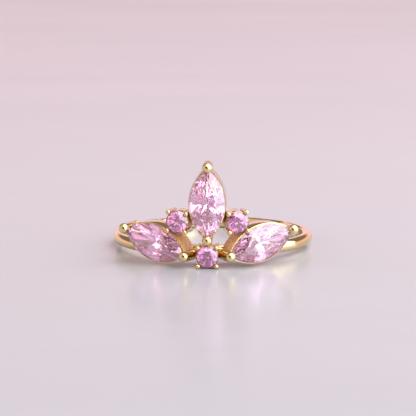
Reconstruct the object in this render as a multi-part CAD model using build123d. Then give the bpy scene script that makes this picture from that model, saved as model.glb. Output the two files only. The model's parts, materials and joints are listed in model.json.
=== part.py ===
"""Cocktail ring with a crown-shaped cluster: three marquise stones and three round stones in soldered collets.

Units are millimetres. The origin is the centre of the finger hole. +Z runs along the finger, towards the
point of the crown, and the cluster faces -Y. Each collet, prong, stone and the shank is a solid of its own,
cut to seat on its neighbours face to face, as the parts lie before they are soldered.
"""

from build123d import *
import math
import os

# Shank: a domed band that is a little narrower at the back than under the cluster.
FINGER_DIAMETER = 18.1
SHANK_THICKNESS = 1.0
SHANK_EDGE_THICKNESS = 0.55
SHANK_WIDTH_FRONT = 1.4
SHANK_WIDTH_BACK = 1.1
SHANK_EDGE_ROUND = 0.14

# Stones: calibrated sizes and the proportions of a standard brilliant.
MARQUISE_LENGTH = 7.0
MARQUISE_WIDTH = 3.5
ROUND_DIAMETER = 2.2
GIRDLE_THICKNESS = 0.08
TABLE_SHARE = 0.5
CROWN_ANGLE = 32.0
PAVILION_ANGLE = 43
STAR_HEIGHT_SHARE = 0.68
LOWER_FACET_SHARE = 0.2

# Collets: thin walls that follow the outline of their stone.
MARQUISE_COLLET_DEPTH = 2.2
ROUND_COLLET_DEPTH = 2.0
MARQUISE_COLLET_REVEAL = 0.08
MARQUISE_RIM_DROP = 0.16
ROUND_COLLET_REVEAL = 0.01
ROUND_RIM_DROP = 0.11
COLLET_LEDGE = 0.26
RIM_ROUND = 0.05
PRONG_BOSS_HEIGHT = 0.5

# Prongs: round posts with a ball worked over the edge of the stone.
MARQUISE_BALL_RADIUS = 0.52
MARQUISE_POST_RADIUS = 0.50
MARQUISE_BALL_OVERHANG = 0.08
MARQUISE_BALL_RISE = 0.14
ROUND_BALL_RADIUS = 0.25
ROUND_POST_RADIUS = 0.21
ROUND_BALL_OVERHANG = 0.18
ROUND_BALL_RISE = 0.12

# Layout of the cluster, drawn flat as if it were unrolled from the finger.
LOWER_ROUND_HEIGHT = -0.26
CENTRE_SEAT_LAP = 0.01
SIDE_PRONG_GAP = 0.955
SIDE_PRONG_HEIGHT = -0.23
SIDE_STONE_RISE = 18.6
ROUND_GAP_TO_CENTRE = 0.36
ROUND_GAP_TO_SIDE = 0.145
UPPER_ROUND_ROLL = 4.0

# How far the back of each collet lies inside the shank's outer radius.
CENTRE_COLLET_SINK = 0.40
SIDE_COLLET_SINK = 0.615
UPPER_ROUND_SINK = 0.165
LOWER_ROUND_SINK = 0.10

# Worked out from the sizes above.
BORE_RADIUS = FINGER_DIAMETER / 2
SHANK_OUTER_RADIUS = BORE_RADIUS + SHANK_THICKNESS
MARQUISE_HALF_LENGTH = MARQUISE_LENGTH / 2
MARQUISE_HALF_WIDTH = MARQUISE_WIDTH / 2
MARQUISE_ARC_RADIUS = (MARQUISE_HALF_LENGTH**2 + MARQUISE_HALF_WIDTH**2) / MARQUISE_WIDTH
MARQUISE_ARC_OFFSET = MARQUISE_ARC_RADIUS - MARQUISE_HALF_WIDTH
MARQUISE_PRONG_REACH = MARQUISE_HALF_LENGTH + MARQUISE_BALL_OVERHANG
ROUND_RADIUS = ROUND_DIAMETER / 2
ROUND_COLLET_RADIUS = ROUND_RADIUS + ROUND_COLLET_REVEAL
ROUND_PRONG_CIRCLE = ROUND_RADIUS + ROUND_BALL_OVERHANG
STATIONS = 16


# Outlines of the stones


def marquise_outline(growth=0.0):
    """The marquise outline, two arcs that meet in points, grown outwards all round."""
    half_width = MARQUISE_HALF_WIDTH + growth
    arc_radius = MARQUISE_ARC_RADIUS + growth
    half_length = math.sqrt(arc_radius**2 - MARQUISE_ARC_OFFSET**2)
    upper = ThreePointArc((-half_length, 0), (0, half_width), (half_length, 0))
    lower = ThreePointArc((half_length, 0), (0, -half_width), (-half_length, 0))
    return make_face([upper, lower])


def marquise_station(index, inset=0.0):
    """Point and outward direction at one of 16 stations round a marquise outline, the points being 0 and 8."""
    half_turn = STATIONS // 2
    side = 1 if index % STATIONS < half_turn else -1
    tip_angle = math.asin(MARQUISE_HALF_LENGTH / MARQUISE_ARC_RADIUS)
    arc_radius = MARQUISE_ARC_RADIUS - inset
    if index % half_turn == 0:
        reach = side * math.sqrt(arc_radius**2 - MARQUISE_ARC_OFFSET**2)
        return Vector(reach, 0), Vector(side, 0)
    angle = side * tip_angle * (1 - 2 * (index % half_turn) / half_turn)
    across = side * (arc_radius * math.cos(angle) - MARQUISE_ARC_OFFSET)
    outward = Vector(math.sin(angle), side * math.cos(angle))
    return Vector(arc_radius * math.sin(angle), across), outward


def round_station(index, inset=0.0):
    """Point and outward direction at one of 16 stations round a circular outline."""
    angle = 2 * math.pi * index / STATIONS
    outward = Vector(math.cos(angle), math.sin(angle))
    return outward * (ROUND_RADIUS - inset), outward


# Stones


def grind(stone, a, b, c):
    """The stone with one facet ground flat through three points."""
    normal = (b - a).cross(c - a).normalized()
    if normal.dot(a) < 0:
        normal = -normal
    return split(stone, bisect_by=Plane(origin=a, z_dir=normal), keep=Keep.BOTTOM)


def meet_point(a_point, a_normal, b_point, b_normal, height):
    """Where the line between two facets passes a height."""
    a_side = a_normal.dot(a_point) - a_normal.Z * height
    b_side = b_normal.dot(b_point) - b_normal.Z * height
    cross = a_normal.X * b_normal.Y - a_normal.Y * b_normal.X
    x = (a_side * b_normal.Y - b_side * a_normal.Y) / cross
    y = (a_normal.X * b_side - b_normal.X * a_side) / cross
    return Vector(x, y, height)


def facet_normal(outer, inner, outward):
    """Normal of a main facet that runs from a girdle point to an inner point, level along the outline."""
    along = Vector(-outward.Y, outward.X)
    normal = along.cross(inner - outer).normalized()
    return normal if normal.dot(outward) > 0 else -normal


def brilliant(blank, station, half_width):
    """A brilliant with 57 facets, ground from a blank whose girdle is centred on the origin."""
    top = GIRDLE_THICKNESS / 2
    table_inset = half_width * (1 - TABLE_SHARE)
    crown = table_inset * math.tan(math.radians(CROWN_ANGLE))
    pavilion = half_width * math.tan(math.radians(PAVILION_ANGLE))
    culet = Vector(0, 0, -top - pavilion)
    up = Vector(0, 0, top)
    table_rise = Vector(0, 0, top + crown)
    stone = blank
    for main in range(0, STATIONS, 2):
        middle, following = main + 1, main + 2
        girdle, outward = station(main)
        next_girdle, next_outward = station(following)
        between, _ = station(middle)
        corner = station(main, table_inset)[0] + table_rise
        next_corner = station(following, table_inset)[0] + table_rise
        level = Vector(-outward.Y, outward.X)

        crown_normal = facet_normal(girdle + up, corner, outward)
        next_normal = facet_normal(next_girdle + up, next_corner, next_outward)
        star_height = top + crown * STAR_HEIGHT_SHARE
        star = meet_point(girdle + up, crown_normal, next_girdle + up, next_normal, star_height)
        stone = grind(stone, girdle + up, corner, girdle + up + level)
        stone = grind(stone, corner, next_corner, star)
        stone = grind(stone, girdle + up, between + up, star)
        stone = grind(stone, between + up, next_girdle + up, star)

        under_normal = facet_normal(girdle - up, culet, outward)
        next_under = facet_normal(next_girdle - up, culet, next_outward)
        meet_height = -top - pavilion * (1 - LOWER_FACET_SHARE)
        meet = meet_point(culet, under_normal, culet, next_under, meet_height)
        stone = grind(stone, girdle - up, culet, girdle - up + level)
        stone = grind(stone, girdle - up, between - up, meet)
        stone = grind(stone, between - up, next_girdle - up, meet)
    return stone


def stone_blank(outline, half_width):
    """Rough stone with the right girdle outline, as high as the finished stone."""
    top = GIRDLE_THICKNESS / 2
    crown = half_width * (1 - TABLE_SHARE) * math.tan(math.radians(CROWN_ANGLE))
    pavilion = half_width * math.tan(math.radians(PAVILION_ANGLE))
    return extrude(Pos(0, 0, -top - pavilion) * outline, amount=pavilion + 2 * top + crown)


def marquise_stone():
    return brilliant(
        stone_blank(marquise_outline(), MARQUISE_HALF_WIDTH), marquise_station, MARQUISE_HALF_WIDTH
    )


def round_stone():
    return brilliant(stone_blank(Circle(ROUND_RADIUS), ROUND_RADIUS), round_station, ROUND_RADIUS)


# Settings


def collet(outline, depth, reveal, rim_drop):
    """Straight wall round a stone, open at the back, with its rim a little below the top of the girdle."""
    rim = GIRDLE_THICKNESS / 2 - rim_drop
    outer = extrude(Pos(0, 0, -depth) * outline(reveal), amount=depth + rim)
    outer = fillet(outer.faces().sort_by(Axis.Z)[-1].edges(), RIM_ROUND)
    return outer - extrude(Pos(0, 0, -depth) * outline(-COLLET_LEDGE), amount=depth + rim)


def round_outline(growth=0.0):
    return Circle(ROUND_RADIUS + growth)


def prong(post_radius, ball_radius, foot, rise):
    """Post from its foot up to a ball whose centre is a little above the girdle."""
    post = extrude(Pos(0, 0, foot) * Circle(post_radius), amount=rise - foot)
    return post + Pos(0, 0, rise) * Sphere(ball_radius)


def marquise_prong_places():
    return {"inner": Pos(-MARQUISE_PRONG_REACH, 0, 0), "outer": Pos(MARQUISE_PRONG_REACH, 0, 0)}


def marquise_prong():
    foot = PRONG_BOSS_HEIGHT - MARQUISE_COLLET_DEPTH
    return prong(MARQUISE_POST_RADIUS, MARQUISE_BALL_RADIUS, foot, MARQUISE_BALL_RISE)


def marquise_collet():
    """Marquise collet with a boss under each prong."""
    body = collet(marquise_outline, MARQUISE_COLLET_DEPTH, MARQUISE_COLLET_REVEAL, MARQUISE_RIM_DROP)
    post = marquise_prong()
    for place in marquise_prong_places().values():
        boss = extrude(Pos(0, 0, -MARQUISE_COLLET_DEPTH) * Circle(MARQUISE_POST_RADIUS), PRONG_BOSS_HEIGHT)
        body = body + place * boss - place * post
    return body


def round_prong_places():
    """Four places on the prong circle, named as they are seen from in front of the stone."""
    reach = ROUND_PRONG_CIRCLE / math.sqrt(2)
    return {
        "upper_left": Pos(-reach, reach, 0),
        "upper_right": Pos(reach, reach, 0),
        "lower_left": Pos(-reach, -reach, 0),
        "lower_right": Pos(reach, -reach, 0),
    }


def round_prong():
    return prong(ROUND_POST_RADIUS, ROUND_BALL_RADIUS, -ROUND_COLLET_DEPTH, ROUND_BALL_RISE)


def round_collet():
    """Round collet with a groove for each prong."""
    body = collet(round_outline, ROUND_COLLET_DEPTH, ROUND_COLLET_REVEAL, ROUND_RIM_DROP)
    post = round_prong()
    for place in round_prong_places().values():
        body = body - place * post
    return body


def marquise_envelope():
    """All the room that a marquise setting takes up behind its stone, used to trim its neighbours to it."""
    depth = MARQUISE_COLLET_DEPTH
    room = extrude(Pos(0, 0, -depth) * marquise_outline(MARQUISE_COLLET_REVEAL), depth + GIRDLE_THICKNESS)
    for place in marquise_prong_places().values():
        room = room + place * extrude(Pos(0, 0, -depth) * Circle(MARQUISE_POST_RADIUS), depth)
    return room


# Shank


def shank():
    """Domed band, cut to its tapering width by two planes and rounded along both edges."""
    half_front = SHANK_WIDTH_FRONT / 2
    half_back = SHANK_WIDTH_BACK / 2
    edge_radius = BORE_RADIUS + SHANK_EDGE_THICKNESS
    profile = make_face(
        [
            Polyline((edge_radius, -half_front), (BORE_RADIUS, -half_front), (BORE_RADIUS, half_front),
                     (edge_radius, half_front)),
            ThreePointArc((edge_radius, half_front), (SHANK_OUTER_RADIUS, 0), (edge_radius, -half_front)),
        ]
    )
    band = revolve(Plane.XZ * profile, Axis.Z)
    slope = math.degrees(math.atan((half_front - half_back) / (2 * SHANK_OUTER_RADIUS)))
    middle = (half_front + half_back) / 2
    for side in (1, -1):
        cut = Plane(origin=(0, 0, side * middle), z_dir=(0, 0, side)).rotated((-side * slope, 0, 0))
        band = split(band, bisect_by=cut, keep=Keep.BOTTOM)
    rims = [edge for edge in band.edges() if edge.length > SHANK_OUTER_RADIUS]
    return fillet(rims, SHANK_EDGE_ROUND)


# Assembly


def seat(across, height, stand, roll):
    """Frame of a stone whose girdle stands off the shank, facing straight out from the finger's axis.

    Across is measured along the arc through the girdle, and roll turns the stone's long axis up from level.
    """
    radius = SHANK_OUTER_RADIUS + stand
    turn = across / radius
    outward = Vector(math.sin(turn), -math.cos(turn), 0)
    level = Plane(origin=outward * radius + Vector(0, 0, height), x_dir=(math.cos(turn), math.sin(turn), 0),
                  z_dir=outward)
    return level.location * Rot(0, 0, roll)


def side_stone_spot():
    """Middle of the right marquise: its inner prong keeps a set gap from the lower round stone."""
    rise = math.radians(SIDE_STONE_RISE)
    across = ROUND_RADIUS + SIDE_PRONG_GAP + MARQUISE_PRONG_REACH * math.cos(rise)
    return Vector(across, SIDE_PRONG_HEIGHT + MARQUISE_PRONG_REACH * math.sin(rise))


def centre_stone_spot():
    """Middle of the centre marquise: its inner prong stands on the collet of the lower round stone."""
    foot = LOWER_ROUND_HEIGHT + ROUND_COLLET_RADIUS - CENTRE_SEAT_LAP
    return Vector(0, foot + MARQUISE_POST_RADIUS + MARQUISE_PRONG_REACH)


def upper_round_spot():
    """Middle of the right round stone: it keeps a set gap from the centre and the right marquise collets."""
    rise = math.radians(SIDE_STONE_RISE)
    centre_arc = centre_stone_spot() - Vector(MARQUISE_ARC_OFFSET, 0)
    side_arc = side_stone_spot() + Vector(math.sin(rise), -math.cos(rise)) * MARQUISE_ARC_OFFSET
    touching = MARQUISE_ARC_RADIUS + MARQUISE_COLLET_REVEAL + ROUND_COLLET_RADIUS
    from_centre = touching + ROUND_GAP_TO_CENTRE
    from_side = touching + ROUND_GAP_TO_SIDE
    span = (side_arc - centre_arc).length
    toward = (side_arc - centre_arc).normalized()
    along = (from_centre**2 - from_side**2 + span**2) / (2 * span)
    aside = math.sqrt(from_centre**2 - along**2)
    return centre_arc + toward * along + Vector(-toward.Y, toward.X) * aside


def marquise_seats():
    """Each marquise setting, its long axis pointing up or out from the middle of the cluster."""
    centre, side = centre_stone_spot(), side_stone_spot()
    centre_stand = MARQUISE_COLLET_DEPTH - CENTRE_COLLET_SINK
    side_stand = MARQUISE_COLLET_DEPTH - SIDE_COLLET_SINK
    return {
        "centre_marquise": seat(centre.X, centre.Y, centre_stand, 90),
        "left_marquise": seat(-side.X, side.Y, side_stand, 180 - SIDE_STONE_RISE),
        "right_marquise": seat(side.X, side.Y, side_stand, SIDE_STONE_RISE),
    }


def round_seats():
    upper = upper_round_spot()
    upper_stand = ROUND_COLLET_DEPTH - UPPER_ROUND_SINK
    lower_stand = ROUND_COLLET_DEPTH - LOWER_ROUND_SINK
    return {
        "left_round": seat(-upper.X, upper.Y, upper_stand, -UPPER_ROUND_ROLL),
        "right_round": seat(upper.X, upper.Y, upper_stand, UPPER_ROUND_ROLL),
        "lower_round": seat(0, LOWER_ROUND_HEIGHT, lower_stand, 0),
    }


def build_marquise_settings(band):
    """Marquise stones, collets and prongs, notched over the band and clear of the lower round stone."""
    stone, wall, post = marquise_stone(), marquise_collet(), marquise_prong()
    wall = wall - stone
    lower_stone = round_seats()["lower_round"] * round_stone()
    pieces = {}
    for name, place in marquise_seats().items():
        pieces[f"{name}_stone"] = place * stone
        pieces[f"{name}_collet"] = place * wall - band
        for end, spot in marquise_prong_places().items():
            pieces[f"{name}_{end}_prong"] = place * (spot * post - stone) - band - lower_stone
    return pieces


def build_round_settings(band):
    """Round stones, collets and prongs; the collets are mitred against the marquise settings."""
    stone, wall, post = round_stone(), round_collet(), round_prong()
    wall = wall - stone
    room = marquise_envelope()
    neighbours = [place * room for place in marquise_seats().values()]
    pieces = {}
    for name, place in round_seats().items():
        pieces[f"{name}_stone"] = place * stone
        pieces[f"{name}_collet"] = place * wall - band - neighbours
        for corner, spot in round_prong_places().items():
            pieces[f"{name}_prong_{corner}"] = place * (spot * post - stone) - band - neighbours
    return pieces


def main():
    os.makedirs("parts", exist_ok=True)
    band = shank()
    pieces = {"shank": band, **build_marquise_settings(band), **build_round_settings(band)}
    for name, shape in pieces.items():
        export_step(shape, f"parts/{name}.step")


main()
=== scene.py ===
"""Cocktail ring: three marquise and three round pink stones in a crown-shaped cluster on a gold shank.

The shank is modelled in millimetres round the finger hole and each setting round the middle of its own
stone. The settings are then seated, and every piece is brought to metres.
"""

import json
import math

import bpy
from bpy.props import FloatProperty, FloatVectorProperty, IntProperty, PointerProperty
from mathutils import Matrix, Vector


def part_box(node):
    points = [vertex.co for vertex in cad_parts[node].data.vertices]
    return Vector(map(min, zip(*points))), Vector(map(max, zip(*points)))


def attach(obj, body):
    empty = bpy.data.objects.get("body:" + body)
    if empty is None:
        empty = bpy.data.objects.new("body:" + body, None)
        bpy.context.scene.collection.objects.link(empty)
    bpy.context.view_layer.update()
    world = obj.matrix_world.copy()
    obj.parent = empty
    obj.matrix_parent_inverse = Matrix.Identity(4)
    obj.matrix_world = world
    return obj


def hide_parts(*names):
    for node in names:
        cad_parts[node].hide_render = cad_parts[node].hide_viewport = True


bl_info = {
    "name": "Cocktail Ring",
    "version": (1, 0, 0),
    "blender": (4, 5, 0),
    "location": "View3D > Sidebar > Ring",
    "description": "Builds the shank, the settings and the studio of a crown cluster ring",
    "category": "Add Mesh",
}

MM = 0.001
BODY = "root"
MARQUISES = ("centre_marquise", "left_marquise", "right_marquise")
ROUNDS = ("left_round", "right_round", "lower_round")
CORNERS = ("upper_left", "upper_right", "lower_left", "lower_right")

# Tolerances and steps of the modelling, in millimetres and in steps to a turn
CLOSE = 1e-4
ON_PLANE = 1e-5
CLEAR = 1
MARQUISE_DRUM_STEPS = 240
ROUND_DRUM_STEPS = 128
POST_STEPS = 64
SMALL_POST_STEPS = 48

# How squarely a wall has to face the opening in the middle of the cluster to get the satin gold, whose
# lighter orange tone is partly painted bounce light
SATIN_AND_BOUNCE_FACING = {"centre_marquise": 0.05, "left_marquise": 0.35, "right_marquise": 0.35,
                "left_round": -0.3, "right_round": -0.3, "lower_round": -0.3}

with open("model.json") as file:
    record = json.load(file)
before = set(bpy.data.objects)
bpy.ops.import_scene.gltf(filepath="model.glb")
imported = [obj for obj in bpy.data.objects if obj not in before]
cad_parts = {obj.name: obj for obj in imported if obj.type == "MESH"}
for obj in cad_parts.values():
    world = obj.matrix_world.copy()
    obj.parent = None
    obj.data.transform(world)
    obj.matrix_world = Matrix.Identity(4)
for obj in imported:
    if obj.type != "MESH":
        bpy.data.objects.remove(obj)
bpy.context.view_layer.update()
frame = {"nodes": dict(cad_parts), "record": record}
NODES = frame["nodes"]


# Reading the frame


def millimetres(node):
    """A CAD node's corners, in millimetres."""
    return [vertex.co / MM for vertex in NODES[node].data.vertices]


def table_of(node):
    """Outward direction and corners of a stone's table, which is its largest facet."""
    mesh = NODES[node].data
    areas = {}
    for face in mesh.polygons:
        key = tuple(round(part, 3) for part in face.normal)
        areas.setdefault(key, []).append(face)
    faces = max(areas.values(), key=lambda group: sum(face.area for face in group))
    corners = {index for face in faces for index in face.vertices}
    return faces[0].normal.copy(), [mesh.vertices[index].co / MM for index in corners]


def seat_of(setting):
    """Where a setting sits: local Z out of the table, X along it, and the girdle's middle at the origin."""
    facing, corners = table_of(f"{setting}_stone")
    middle = sum(corners, Vector()) / len(corners)
    reach = max((corner - middle).length for corner in corners)
    tips = [(corner - middle).normalized() for corner in corners if (corner - middle).length > 0.999 * reach]
    wanted = Vector((0, 0, 1)) if setting == "centre_marquise" else Vector((1, 0, 0))
    if setting == "left_marquise":
        wanted = -wanted
    along = max(tips, key=wanted.dot)
    turn = Matrix((along, facing.cross(along), facing)).transposed().to_4x4()
    points = [turn.inverted() @ corner for corner in millimetres(f"{setting}_stone")]
    low = [min(point[axis] for point in points) for axis in range(3)]
    high = [max(point[axis] for point in points) for axis in range(3)]
    rim = [point.z for point in points if point.x > high[0] - 0.01]
    girdle = Vector(((low[0] + high[0]) / 2, (low[1] + high[1]) / 2, (min(rim) + max(rim)) / 2))
    return Matrix.Translation(turn @ girdle) @ turn


SEATS = {name: seat_of(name) for name in MARQUISES + ROUNDS}


def local_box(node, setting):
    """Lowest and highest corner of a CAD node in its setting's own directions, in millimetres."""
    inward = SEATS[setting].inverted()
    points = [inward @ corner for corner in millimetres(node)]
    low = Vector([min(point[axis] for point in points) for axis in range(3)])
    high = Vector([max(point[axis] for point in points) for axis in range(3)])
    return low, high


SHANK_BOX = [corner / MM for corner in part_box("shank")]
BORE = next(mount for mount in frame["record"]["mounts"] if mount["name"] == "finger_bore")
MARQUISE_STONE = local_box("centre_marquise_stone", "centre_marquise")[1]
MARQUISE_COLLET = local_box("centre_marquise_collet", "centre_marquise")
MARQUISE_PRONG = local_box("centre_marquise_outer_prong", "centre_marquise")
ROUND_STONE = local_box("lower_round_stone", "lower_round")[1]
ROUND_COLLET = local_box("lower_round_collet", "lower_round")
ROUND_PRONG = local_box("lower_round_prong_upper_right", "lower_round")


# Sizes and colours that a user would change


class RingSizes(bpy.types.PropertyGroup):
    """Sizes of the metalwork, in millimetres."""

    shank_edge: FloatProperty(name="Shank edge", description="Thickness of the shank at its two edges, mm",
                              default=0.55, min=0.2)
    shank_round: FloatProperty(name="Shank rounding", description="Rounding of the shank's edges, mm",
                               default=0.14, min=0.02)
    inner_round: FloatProperty(name="Inner rounding", default=0.22, min=0.02,
                               description="Rounding of the shank's edges by the finger, mm")
    collet_ledge: FloatProperty(name="Collet ledge", default=0.26, min=0.05,
                                description="How far a collet reaches in under its stone, mm")
    rim_round: FloatProperty(name="Rim rounding", description="Rounding of each collet's rim, mm",
                             default=0.05, min=0.01)
    boss_height: FloatProperty(name="Boss height", description="Height of the boss under a large prong, mm",
                               default=0.5, min=0.1)
    large_post: FloatProperty(name="Large post", description="Radius of the posts of the marquise prongs, mm",
                              default=0.50, min=0.1)
    small_post: FloatProperty(name="Small post", description="Radius of the posts of the round prongs, mm",
                              default=0.21, min=0.05)
    turns: IntProperty(name="Smoothness", description="Steps in a full turn of the shank",
                       default=192, min=48)


class RingColours(bpy.types.PropertyGroup):
    """Colours of the metal, the stones and the studio."""

    gold: FloatVectorProperty(name="Gold", description="Polished gold", subtype="COLOR", size=3,
                              default=(0.82, 0.65, 0.31), min=0, max=1)
    # Warm gold: the satin finish is real, but its lighter, more orange tone is painted bounce light from the
    # pink stones and the gold
    warm_gold_and_bounce_light: FloatVectorProperty(name="Warm gold", description="Satin gold of the collet walls",
                                   subtype="COLOR", size=3, default=(1.0, 0.62, 0.29), min=0, max=1)
    marquise_pink: FloatVectorProperty(name="Marquise pink", description="Large stones", subtype="COLOR",
                                       size=3, default=(1.0, 0.63, 0.87), min=0, max=1)
    round_pink: FloatVectorProperty(name="Round pink", description="Small stones", subtype="COLOR",
                                    size=3, default=(0.55, 0.23, 0.42), min=0, max=1)
    floor: FloatVectorProperty(name="Floor", description="Floor", subtype="COLOR", size=3,
                               default=(0.375, 0.378, 0.384), min=0, max=1)


# Modelling by hand


def object_mode():
    if bpy.context.object and bpy.context.object.mode != "OBJECT":
        bpy.ops.object.mode_set(mode="OBJECT")


def pick(*pieces):
    """Selects these objects alone; the first is the active one."""
    object_mode()
    bpy.ops.object.select_all(action="DESELECT")
    for piece in pieces:
        piece.select_set(True)
    bpy.context.view_layer.objects.active = pieces[0]


def fresh(name):
    """The primitive that was just added, under its own name."""
    piece = bpy.context.object
    piece.name = name
    piece.data.name = name
    return piece


def edit(piece):
    pick(piece)
    bpy.ops.object.mode_set(mode="EDIT")
    bpy.ops.mesh.select_all(action="DESELECT")


def choose_edges(piece, wanted):
    """Selects the edges whose two ends pass a test, in edit mode."""
    bpy.ops.object.mode_set(mode="OBJECT")
    corners = piece.data.vertices
    for part in (corners, piece.data.edges, piece.data.polygons):
        part.foreach_set("select", [False] * len(part))
    for line in piece.data.edges:
        line.select = wanted(*(corners[index].co for index in line.vertices))
    bpy.ops.object.mode_set(mode="EDIT")
    bpy.ops.mesh.select_mode(type="EDGE")


def copy_of(piece, name):
    """A copy with its own mesh."""
    pick(piece)
    bpy.ops.object.duplicate()
    return fresh(name)


def cut(piece, other, operation="DIFFERENCE"):
    """Cuts, joins or intersects a piece with another by an applied Boolean modifier."""
    pick(piece)
    modifier = piece.modifiers.new("cut", "BOOLEAN")
    modifier.operation = operation
    modifier.object = other
    modifier.solver = "EXACT"
    bpy.ops.object.modifier_apply(modifier=modifier.name)
    return piece


def discard(*pieces):
    for piece in pieces:
        bpy.data.objects.remove(piece)


def apply_place(piece):
    pick(piece)
    bpy.ops.object.transform_apply(location=True, rotation=True, scale=True)
    return piece


def move_to(piece, place):
    """Moves a finished piece to a place and leaves its object at the origin."""
    piece.matrix_world = place
    return apply_place(piece)


def bevel_edges(piece, width, steps, wanted):
    edit(piece)
    choose_edges(piece, wanted)
    bpy.ops.mesh.bevel(offset=width, segments=steps, affect="EDGES", clamp_overlap=True)
    bpy.ops.object.mode_set(mode="OBJECT")


def finish_piece(piece, stands_for, slot, *materials):
    """Brings a piece to metres, smooths its shading and hands it to the frame."""
    piece.scale = (MM, MM, MM)
    apply_place(piece)
    bpy.ops.object.shade_smooth_by_angle(angle=math.radians(32), keep_sharp_edges=False)
    for material in materials:
        if material.name not in piece.data.materials:
            piece.data.materials.append(material)
    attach(piece, BODY)
    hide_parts(*stands_for)
    return piece


# Materials


class Value:
    """A socket that takes part in arithmetic: each operator adds its Math node."""

    def __init__(self, tree, socket=None):
        self.tree = tree
        self.socket = socket

    def node(self, kind, settings=None, **inputs):
        """Adds a node of a type, its settings first and then the values or links of its sockets."""
        made = self.tree.nodes.new(kind)
        for name, setting in (settings or {}).items():
            if name == "stops":
                made.color_ramp.elements[0].position, made.color_ramp.elements[0].color = setting[0]
                made.color_ramp.elements[1].position, made.color_ramp.elements[1].color = setting[-1]
                for position, colour in setting[1:-1]:
                    made.color_ramp.elements.new(position).color = colour
            else:
                setattr(made, name, setting)
        for name, value in inputs.items():
            number = name.removeprefix("in")
            key = int(number) if number.isdigit() else name.replace("_", " ")
            if isinstance(value, Value):
                self.tree.links.new(value.socket, made.inputs[key])
            else:
                made.inputs[key].default_value = value
        return made

    def out(self, kind, output=0, settings=None, **inputs):
        return Value(self.tree, self.node(kind, settings, **inputs).outputs[output])

    def maths(self, operation, first, second):
        return self.out("ShaderNodeMath", 0, {"operation": operation}, in0=first, in1=second)

    def __add__(self, other):
        return self.maths("ADD", self, other)

    def __radd__(self, other):
        return self.maths("ADD", other, self)

    def __sub__(self, other):
        return self.maths("SUBTRACT", self, other)

    def __rsub__(self, other):
        return self.maths("SUBTRACT", other, self)

    def __mul__(self, other):
        return self.maths("MULTIPLY", self, other)

    def __rmul__(self, other):
        return self.maths("MULTIPLY", other, self)


def new_material(name):
    """A material with its shader, and a value that reads Object coordinates."""
    material = bpy.data.materials.new(name)
    material.use_nodes = True
    shader = material.node_tree.nodes["Principled BSDF"]
    place = Value(material.node_tree).out("ShaderNodeTexCoord", "Object")
    return material, shader, place


def feed(shader, **sockets):
    """Sets or links the shader's sockets."""
    tree = shader.id_data
    for name, value in sockets.items():
        socket = shader.inputs[name.replace("_", " ")]
        if isinstance(value, Value):
            tree.links.new(value.socket, socket)
        else:
            socket.default_value = value


def noise(place, per_mm, detail=3.0, stretch=None):
    """Noise with so many cells in a millimetre, drawn out along an axis where a stretch is given."""
    if stretch:
        place = place.out("ShaderNodeMapping", 0, None, Vector=place, Scale=stretch)
    return place.out("ShaderNodeTexNoise", 0, None, Vector=place, Scale=per_mm / MM, Detail=detail)


def blend(place, share, first, second):
    """Mix of two colours by a share."""
    return place.out("ShaderNodeMix", 2, {"data_type": "RGBA"}, in0=share, in6=(*first, 1), in7=(*second, 1))


def polished_gold(colours):
    """Bright gold with a faint orange-peel and hairline scratches from the polishing wheel."""
    material, shader, place = new_material("polished_gold")
    cloud = noise(place, 0.9)
    hairlines = noise(place, 9.0, 2.0, (1.0, 1.0, 12.0))
    tone = [channel * 0.93 for channel in colours.gold]
    colour = blend(place, cloud, tone, colours.gold)
    height = cloud * 0.6 + hairlines * 0.12
    bump = place.out("ShaderNodeBump", 0, None, Strength=0.12, Distance=0.02 * MM, Height=height)
    feed(shader, Base_Color=colour, Metallic=1.0, Roughness=0.055 + hairlines * 0.07, Normal=bump)
    return material


def satin_gold(colours):
    """Warm, finely grained gold of the walls that a polishing wheel can't reach. The grain and the satin
    finish are the metal's own; the lighter, more orange tone is painted bounce light from the pink stones and
    the gold round the cluster's opening.
    """
    material, shader, place = new_material("satin_gold")
    grain = noise(place, 5.5, 3.0)
    pits = place.out("ShaderNodeMapRange", 0, None, Value=grain, From_Min=0.42, From_Max=0.54)
    tone = [channel * 0.55 for channel in colours.warm_gold_and_bounce_light]
    # Painted bounce light: the light orange of the warm gold stands for light caught between the stones and
    # the gold; the darker pits are the grain
    colour = blend(place, pits, tone, colours.warm_gold_and_bounce_light)
    bump = place.out("ShaderNodeBump", 0, None, Strength=0.9, Distance=0.08 * MM, Height=grain)
    feed(shader, Base_Color=colour, Metallic=0.35, Roughness=0.30 + grain * 0.2, Normal=bump)
    return material


def gem(name, colour, deep):
    """Clear tinted stone, a little deeper in tone in some zones, with the last of the polishing lines."""
    material, shader, place = new_material(name)
    zones = noise(place, 0.35, 1.0)
    lines = noise(place, 5.0, 2.0, (1.0, 1.0, 6.0))
    tint = blend(place, zones, deep, colour)
    feed(shader, Base_Color=tint, Roughness=lines * 0.02, Transmission_Weight=0.96, IOR=2.15)
    return material


# Pieces


def marquise_prism(name, growth, low, high):
    """Upright prism on the marquise outline, where two drums cross."""
    half_length, half_width = MARQUISE_STONE.x, MARQUISE_STONE.y
    arc = (half_length**2 + half_width**2) / (2 * half_width)
    drums = []
    for side in (-1, 1):
        bpy.ops.mesh.primitive_cylinder_add(
            vertices=MARQUISE_DRUM_STEPS, radius=arc + growth, depth=high - low,
            location=(0, side * (arc - half_width), (high + low) / 2)
        )
        drums.append(apply_place(fresh(name)))
    cut(drums[0], drums[1], "INTERSECT")
    discard(drums[1])
    return drums[0]


def upright_drum(name, radius, low, high, steps, place=(0, 0)):
    bpy.ops.mesh.primitive_cylinder_add(
        vertices=steps, radius=radius, depth=high - low, location=(*place, (high + low) / 2)
    )
    return apply_place(fresh(name))


def on_level(height):
    """Test for an edge that lies in a level plane."""
    return lambda a, b: abs(a.z - height) < CLOSE and abs(b.z - height) < CLOSE


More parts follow.
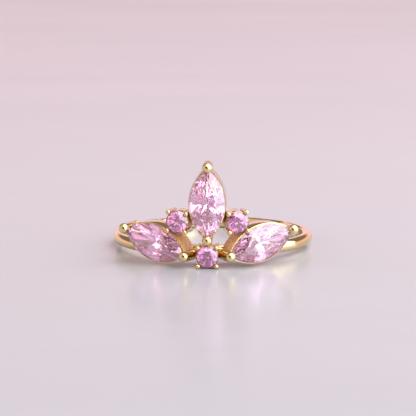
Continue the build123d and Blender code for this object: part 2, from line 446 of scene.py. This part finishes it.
def marquise_collet_pattern(sizes):
    """Wall on the marquise outline with a rounded rim, and a boss for the foot of each prong."""
    low, high = MARQUISE_COLLET
    reveal = high.y - MARQUISE_STONE.y
    wall = marquise_prism("marquise_collet", reveal, low.z, high.z)
    bevel_edges(wall, sizes.rim_round, 4, on_level(high.z))
    hollow = marquise_prism("hollow", -sizes.collet_ledge, low.z - CLEAR, high.z + CLEAR)
    cut(wall, hollow)
    bevel_edges(wall, sizes.rim_round / 2, 2, on_level(low.z))
    discard(hollow)
    foot = low.z + sizes.boss_height
    for side in (-1, 1):
        spot = (side * marquise_prong_reach(), 0)
        boss = upright_drum("boss", sizes.large_post, low.z, foot, POST_STEPS, spot)
        bevel_edges(boss, sizes.rim_round, 3, on_level(low.z))
        cut(wall, boss, "UNION")
        room = upright_drum("room", sizes.large_post, foot, high.z + CLEAR, POST_STEPS, spot)
        cut(wall, room)
        discard(boss, room)
    return wall


def marquise_prong_reach():
    low, high = MARQUISE_PRONG
    return (low.x + high.x) / 2


def prong_pattern(name, box, post, steps):
    """Post with a ball on its end: a ball cut open below and drawn down to its foot."""
    low, high = box
    ball = (high.y - low.y) / 2
    centre = Vector(((low.x + high.x) / 2, (low.y + high.y) / 2, high.z - ball))
    bpy.ops.mesh.primitive_uv_sphere_add(segments=steps, ring_count=steps // 2, radius=ball, location=centre)
    piece = apply_place(fresh(name))
    neck = centre.z - math.sqrt(ball**2 - post**2)
    edit(piece)
    bpy.ops.mesh.select_all(action="SELECT")
    bpy.ops.mesh.bisect(plane_co=(0, 0, neck), plane_no=(0, 0, 1), clear_inner=True,
                        threshold=ON_PLANE)
    choose_edges(piece, on_level(neck))
    bpy.ops.mesh.extrude_region_move(TRANSFORM_OT_translate={"value": (0, 0, low.z - neck)})
    bpy.ops.mesh.edge_face_add()
    bpy.ops.object.mode_set(mode="OBJECT")
    bevel_edges(piece, post * 0.12, 2, on_level(low.z))
    return move_to(piece, Matrix.Translation((-centre.x, -centre.y, 0)))


def round_collet_pattern(sizes):
    """Short tube under a round stone with rounded edges."""
    low, high = ROUND_COLLET
    radius = (high.x - low.x) / 2
    tube = upright_drum("round_collet", radius, low.z, high.z, ROUND_DRUM_STEPS)
    bevel_edges(tube, sizes.rim_round, 4, on_level(high.z))
    bevel_edges(tube, sizes.rim_round / 2, 2, on_level(low.z))
    hollow = upright_drum("hollow", ROUND_STONE.x - sizes.collet_ledge, low.z - CLEAR, high.z + CLEAR,
                          ROUND_DRUM_STEPS)
    cut(tube, hollow)
    discard(hollow)
    return tube


def cad_copy(node, name):
    """A CAD node's shape in millimetres, to cut with."""
    piece = NODES[node].copy()
    piece.data = NODES[node].data.copy()
    piece.name = name
    piece.parent = None
    bpy.context.scene.collection.objects.link(piece)
    piece.scale = (1 / MM, 1 / MM, 1 / MM)
    apply_place(piece)
    edit(piece)
    bpy.ops.mesh.select_all(action="SELECT")
    bpy.ops.mesh.remove_doubles(threshold=CLOSE)
    bpy.ops.object.mode_set(mode="OBJECT")
    return piece


def satin_and_bounce_inside(piece, setting, depth):
    """Gives the second material, satin gold whose lighter orange tone is painted bounce light, to the deeper
    walls that face the opening in the cluster's middle.
    """
    inward = SEATS[setting].inverted()
    opening = Vector((0, SEATS["centre_marquise"].translation.y, SEATS["lower_round"].translation.z + 2))
    for face in piece.data.polygons:
        toward = (opening - face.center).normalized()
        hidden = (inward @ face.center).z < depth
        face.material_index = int(hidden and face.normal.dot(toward) > SATIN_AND_BOUNCE_FACING[setting])


# Operators


class RING_OT_shank(bpy.types.Operator):
    """Spin the domed shank, taper it towards the back and round its edges."""

    bl_idname = "ring.shank"
    bl_label = "Shank"

    def execute(self, context):
        sizes = context.scene.ring_sizes
        outer = SHANK_BOX[1].x
        bore = BORE["dims"]["r_mm"]
        half_front = self.half_width(-1)
        half_back = self.half_width(1)
        edge = bore + sizes.shank_edge
        sagitta = outer - edge
        dome = (half_front**2 + sagitta**2) / (2 * sagitta)
        bpy.ops.mesh.primitive_circle_add(
            vertices=96, radius=dome, fill_type="NGON", location=(outer - dome, 0, 0),
            rotation=(math.pi / 2, 0, 0)
        )
        band = apply_place(fresh("shank_band"))
        edit(band)
        for spot, facing in (((bore, 0, 0), (-1, 0, 0)), ((0, 0, half_front), (0, 0, 1)),
                             ((0, 0, -half_front), (0, 0, -1))):
            bpy.ops.mesh.select_all(action="SELECT")
            bpy.ops.mesh.bisect(plane_co=spot, plane_no=facing, clear_outer=True, threshold=ON_PLANE)
            bpy.ops.mesh.edge_face_add()
        bpy.ops.mesh.select_all(action="SELECT")
        bpy.ops.mesh.delete(type="ONLY_FACE")
        bpy.ops.mesh.select_all(action="SELECT")
        bpy.ops.mesh.spin(steps=sizes.turns, angle=2 * math.pi, center=(0, 0, 0), axis=(0, 0, 1))
        bpy.ops.mesh.select_all(action="SELECT")
        bpy.ops.mesh.remove_doubles(threshold=CLOSE)
        bpy.ops.mesh.normals_make_consistent(inside=False)
        bpy.ops.object.mode_set(mode="OBJECT")
        self.taper(band, half_front, half_back, outer)
        bevel_edges(band, sizes.inner_round, 8, self.near_radius(bore, 1e-3, 0.3))
        bevel_edges(band, sizes.shank_round, 5, self.near_radius(edge, 0.02, 0.5 * half_back))
        context.scene["ring_band"] = band
        return {"FINISHED"}

    def near_radius(self, radius, slack, height):
        """Test for an edge that runs round the band at a radius, further than a height from its middle."""
        return lambda a, b: (all(abs(end.xy.length - radius) < slack for end in (a, b))
                             and abs(a.z) > height and a.z * b.z > 0)

    def half_width(self, side):
        """Half the shank's width at the front or the back."""
        outer = SHANK_BOX[1].x
        return max(corner.z for corner in millimetres("shank") if corner.y * side > 0.97 * outer)

    def taper(self, band, half_front, half_back, outer):
        """Narrows the band evenly from the front to the back with a lattice cage."""
        bpy.ops.object.add(type="LATTICE")
        cage = bpy.context.object
        cage.data.points_u = cage.data.points_v = cage.data.points_w = 2
        cage.data.interpolation_type_u = "KEY_LINEAR"
        cage.data.interpolation_type_v = "KEY_LINEAR"
        cage.data.interpolation_type_w = "KEY_LINEAR"
        cage.scale = (2 * outer, 2 * outer, 2 * half_front)
        for point in cage.data.points:
            if point.co.y > 0:
                point.co_deform.z *= half_back / half_front
        modifier = band.modifiers.new("taper", "LATTICE")
        modifier.object = cage
        pick(band)
        bpy.context.view_layer.update()
        bpy.ops.object.modifier_apply(modifier=modifier.name)
        discard(cage)


class RING_OT_marquise_settings(bpy.types.Operator):
    """Build the three marquise collets and their six prongs and seat them."""

    bl_idname = "ring.marquise_settings"
    bl_label = "Marquise settings"

    def execute(self, context):
        sizes = context.scene.ring_sizes
        band = context.scene["ring_band"]
        wall = marquise_collet_pattern(sizes)
        post = prong_pattern("marquise_prong", MARQUISE_PRONG, sizes.large_post, POST_STEPS)
        gold = bpy.data.materials["polished_gold"]
        satin_bounce = bpy.data.materials["satin_gold"]
        lower_stone = cad_copy("lower_round_stone", "lower_stone_cutter")
        for name in MARQUISES:
            stone = cad_copy(f"{name}_stone", "stone_cutter")
            collet = move_to(copy_of(wall, f"{name}_collet_wall"), SEATS[name])
            cut(collet, stone)
            if name != "centre_marquise":
                cut(collet, band)
            satin_and_bounce_inside(collet, name, MARQUISE_COLLET[1].z - 3 * sizes.rim_round)
            finish_piece(collet, [f"{name}_collet"], "gold", gold, satin_bounce)
            for end, side in (("inner", -1), ("outer", 1)):
                spot = Matrix.Translation((side * marquise_prong_reach(), 0, 0))
                prong = move_to(copy_of(post, f"{name}_{end}_bead"), SEATS[name] @ spot)
                cut(prong, stone)
                cut(prong, band)
                cut(prong, lower_stone)
                finish_piece(prong, [f"{name}_{end}_prong"], "gold", gold)
            discard(stone)
        discard(wall, post, lower_stone)
        return {"FINISHED"}


class RING_OT_round_settings(bpy.types.Operator):
    """Build the three round collets and their twelve prongs and seat them."""

    bl_idname = "ring.round_settings"
    bl_label = "Round settings"

    def execute(self, context):
        sizes = context.scene.ring_sizes
        band = context.scene["ring_band"]
        tube = round_collet_pattern(sizes)
        post = prong_pattern("round_prong", ROUND_PRONG, sizes.small_post, SMALL_POST_STEPS)
        low, high = ROUND_PRONG
        reach = Vector(((low.x + high.x) / 2, (low.y + high.y) / 2))
        gold = bpy.data.materials["polished_gold"]
        satin_bounce = bpy.data.materials["satin_gold"]
        rooms = self.marquise_rooms(sizes)
        for name in ROUNDS:
            stone = cad_copy(f"{name}_stone", "stone_cutter")
            collet = move_to(copy_of(tube, f"{name}_collet_tube"), SEATS[name])
            for cutter in (stone, band, *rooms):
                cut(collet, cutter)
            satin_and_bounce_inside(collet, name, ROUND_COLLET[1].z - 2 * sizes.rim_round)
            for corner in CORNERS:
                across = -reach.x if corner.endswith("left") else reach.x
                up = -reach.y if corner.startswith("lower") else reach.y
                spot = SEATS[name] @ Matrix.Translation((across, up, 0))
                groove = move_to(copy_of(post, "groove"), spot)
                cut(collet, groove)
                prong = groove
                prong.name = prong.data.name = f"{name}_{corner}_bead"
                for cutter in (stone, band, *rooms):
                    cut(prong, cutter)
                finish_piece(prong, [f"{name}_prong_{corner}"], "gold", gold)
            finish_piece(collet, [f"{name}_collet"], "gold", gold, satin_bounce)
            discard(stone)
        discard(tube, post, *rooms)
        return {"FINISHED"}

    def marquise_rooms(self, sizes):
        """The room that each marquise setting takes up, to mitre the round settings against it."""
        low, high = MARQUISE_COLLET
        block = marquise_prism("room", high.y - MARQUISE_STONE.y, low.z, 0.1)
        for side in (-1, 1):
            spot = (side * marquise_prong_reach(), 0)
            post = upright_drum("room_post", sizes.large_post, low.z, 0, POST_STEPS, spot)
            cut(block, post, "UNION")
            discard(post)
        rooms = [move_to(copy_of(block, f"{name}_room"), SEATS[name]) for name in MARQUISES]
        discard(block)
        return rooms


class RING_OT_finish_shank(bpy.types.Operator):
    """Hand the shank over once the settings have been cut to it."""

    bl_idname = "ring.finish_shank"
    bl_label = "Finish shank"

    def execute(self, context):
        band = context.scene["ring_band"]
        finish_piece(band, ["shank"], "gold", bpy.data.materials["polished_gold"])
        del context.scene["ring_band"]
        return {"FINISHED"}


class RING_OT_stones(bpy.types.Operator):
    """Give the cut stones their material."""

    bl_idname = "ring.stones"
    bl_label = "Stones"

    def execute(self, context):
        for names, material in ((MARQUISES, "marquise_gem"), (ROUNDS, "round_gem")):
            for name in names:
                NODES[f"{name}_stone"].material_slots[0].material = bpy.data.materials[material]
        return {"FINISHED"}


class RING_OT_materials(bpy.types.Operator):
    """Make the metal and the stone materials."""

    bl_idname = "ring.materials"
    bl_label = "Materials"

    def execute(self, context):
        colours = context.scene.ring_colours
        polished_gold(colours)
        satin_gold(colours)
        for name, colour in (("marquise_gem", colours.marquise_pink), ("round_gem", colours.round_pink)):
            deep = [channel * share for channel, share in zip(colour, (0.95, 0.80, 0.90))]
            gem(name, colour, deep)
        return {"FINISHED"}


class RING_OT_studio(bpy.types.Operator):
    """Lay the floor under the ring, light it softly and set the camera."""

    bl_idname = "ring.studio"
    bl_label = "Studio"

    def execute(self, context):
        self.floor(context.scene.ring_colours)
        self.world(context.scene)
        self.lights()
        self.camera(context.scene)
        context.scene.view_settings.view_transform = "Standard"
        context.scene.cycles.max_bounces = 24
        context.scene.cycles.transmission_bounces = 24
        context.scene.cycles.glossy_bounces = 12
        return {"FINISHED"}

    def floor(self, colours):
        """The ring rests on the two lower balls of the lower stone and on the back edge of the shank."""
        foot = local_box("lower_round_prong_lower_left", "lower_round")
        ball = (foot[1].x - foot[0].x) / 2
        centre = SEATS["lower_round"] @ Vector(((foot[0].x + foot[1].x) / 2, (foot[0].y + foot[1].y) / 2,
                                                foot[1].z - ball))
        back = min(millimetres("shank"), key=lambda corner: corner.z - 0.04 * corner.y)
        run = back.y - centre.y
        tilt = math.atan2(back.z - centre.z, run) + math.asin(ball / math.hypot(run, back.z - centre.z))
        bpy.ops.mesh.primitive_plane_add(size=6000, location=back, rotation=(tilt, 0, 0))
        plane = fresh("floor")
        plane.location = Vector(back) * MM
        plane.scale = (MM, MM, MM)
        apply_place(plane)
        material, shader, place = new_material("floor_stone")
        veins = noise(place, 0.02, 5.0, (1.0, 4.0, 1.0))
        tone = [channel * 0.96 for channel in colours.floor]
        feed(shader, Base_Color=blend(place, veins, tone, colours.floor), Roughness=0.16 + veins * 0.12)
        plane.data.materials.append(material)

    def world(self, scene):
        """A soft room: warm grey behind, rose above in front, and dim low in front and overhead."""
        world = bpy.data.worlds.new("studio")
        scene.world = world
        world.use_nodes = True
        tree = world.node_tree
        facing = Value(tree).out("ShaderNodeTexCoord", "Generated")

        def rising(axis, start, end):
            """Share that rises as the view turns along an axis."""
            turned = facing.out("ShaderNodeSeparateXYZ", axis, None, Vector=facing)
            return turned.out("ShaderNodeMapRange", 0, {"interpolation_type": "SMOOTHSTEP"}, Value=turned,
                              From_Min=start, From_Max=end)

        def mixed(share, first, second):
            return facing.out("ShaderNodeMix", 2, {"data_type": "RGBA"}, in0=share, in6=first, in7=second)

        behind = rising("Y", 0.0, 0.4)
        falling = 1.0 - rising("Z", 0.75, 0.95)
        above = rising("Z", 0.20, 0.34) * falling
        front = mixed(above, (1.15, 0.76, 0.86, 1), (0.26, 0.20, 0.17, 1))
        room = mixed(behind, (0.76, 0.67, 0.63, 1), front)
        tree.links.new(room.socket, tree.nodes["Background"].inputs["Color"])
        tree.nodes["Background"].inputs["Strength"].default_value = 1.0

    def spot(self, azimuth, elevation, distance):
        """A place round the ring, in millimetres; azimuth 0 is in front, and grows to the right."""
        azimuth, elevation = math.radians(azimuth), math.radians(elevation)
        return distance * Vector((math.sin(azimuth) * math.cos(elevation),
                                  -math.cos(azimuth) * math.cos(elevation), math.sin(elevation)))

    def lights(self):
        """A large window, a fill that reflections leave out, and the dark shape of the camera."""
        for name, where, size, radiance, colour, mirrored in (
            ("window", (70, 43, 260), (520, 600), 3.0, (0.96, 1.0, 1.10), True),
            ("stone_fill", (-62, 10, 300), (600, 360), 2.2, (1.0, 0.92, 1.04), False),
        ):
            place = self.spot(*where) * MM
            bpy.ops.object.light_add(type="AREA", location=place)
            lamp = bpy.context.object
            lamp.name = name
            lamp.data.shape = "RECTANGLE"
            lamp.data.size, lamp.data.size_y = size[0] * MM, size[1] * MM
            lamp.data.energy = radiance * math.pi * lamp.data.size * lamp.data.size_y
            lamp.data.color = colour
            lamp.rotation_euler = place.to_track_quat("Z", "Y").to_euler()
            lamp.visible_camera = False
            lamp.visible_glossy = mirrored
        place = self.spot(-8, 23, 330) * MM
        bpy.ops.mesh.primitive_circle_add(vertices=48, radius=140 * MM, fill_type="NGON")
        card = fresh("camera_shade")
        card.matrix_world = Matrix.Translation(place) @ place.to_track_quat("Z", "Y").to_matrix().to_4x4()
        apply_place(card)
        material, shader, place = new_material("dark_cloth")
        tone = blend(place, noise(place, 0.02), (0.02, 0.018, 0.016), (0.04, 0.036, 0.032))
        feed(shader, Base_Color=tone, Roughness=0.9)
        card.data.materials.append(material)
        card.visible_camera = False
        card.visible_transmission = False

    def camera(self, scene):
        azimuth, elevation, distance = 2.73, 8.4, 319.4
        away = self.spot(azimuth, elevation, 1)
        right = Vector((math.cos(math.radians(azimuth)), math.sin(math.radians(azimuth)), 0))
        target = right * -0.476 + away.cross(right) * 2.796
        bpy.ops.object.camera_add(location=(target + away * distance) * MM)
        camera = bpy.context.object
        camera.name = "camera"
        camera.rotation_euler = away.to_track_quat("Z", "Y").to_euler()
        camera.data.lens = 273.1
        camera.data.sensor_width = 36
        camera.data.clip_start = 0.01
        camera.data.clip_end = 50
        scene.camera = camera


class RING_PT_panel(bpy.types.Panel):
    """Sizes, colours and steps of the ring."""

    bl_idname = "RING_PT_panel"
    bl_label = "Cocktail ring"
    bl_space_type = "VIEW_3D"
    bl_region_type = "UI"
    bl_category = "Ring"

    def draw(self, context):
        for group in (context.scene.ring_sizes, context.scene.ring_colours):
            for name in group.__annotations__:
                self.layout.prop(group, name)
        for step in STEPS:
            self.layout.operator(step.bl_idname)


STEPS = (
    RING_OT_materials, RING_OT_shank, RING_OT_marquise_settings, RING_OT_round_settings, RING_OT_finish_shank,
    RING_OT_stones, RING_OT_studio,
)
CLASSES = (RingSizes, RingColours, *STEPS, RING_PT_panel)


def register():
    for cls in CLASSES:
        bpy.utils.register_class(cls)
    bpy.types.Scene.ring_sizes = PointerProperty(type=RingSizes)
    bpy.types.Scene.ring_colours = PointerProperty(type=RingColours)


def unregister():
    del bpy.types.Scene.ring_colours
    del bpy.types.Scene.ring_sizes
    for cls in reversed(CLASSES):
        bpy.utils.unregister_class(cls)


def main():
    register()
    bpy.ops.object.select_all(action="DESELECT")
    for step in STEPS:
        group, name = step.bl_idname.split(".")
        getattr(getattr(bpy.ops, group), name)()


if __name__ == "__main__":
    main()
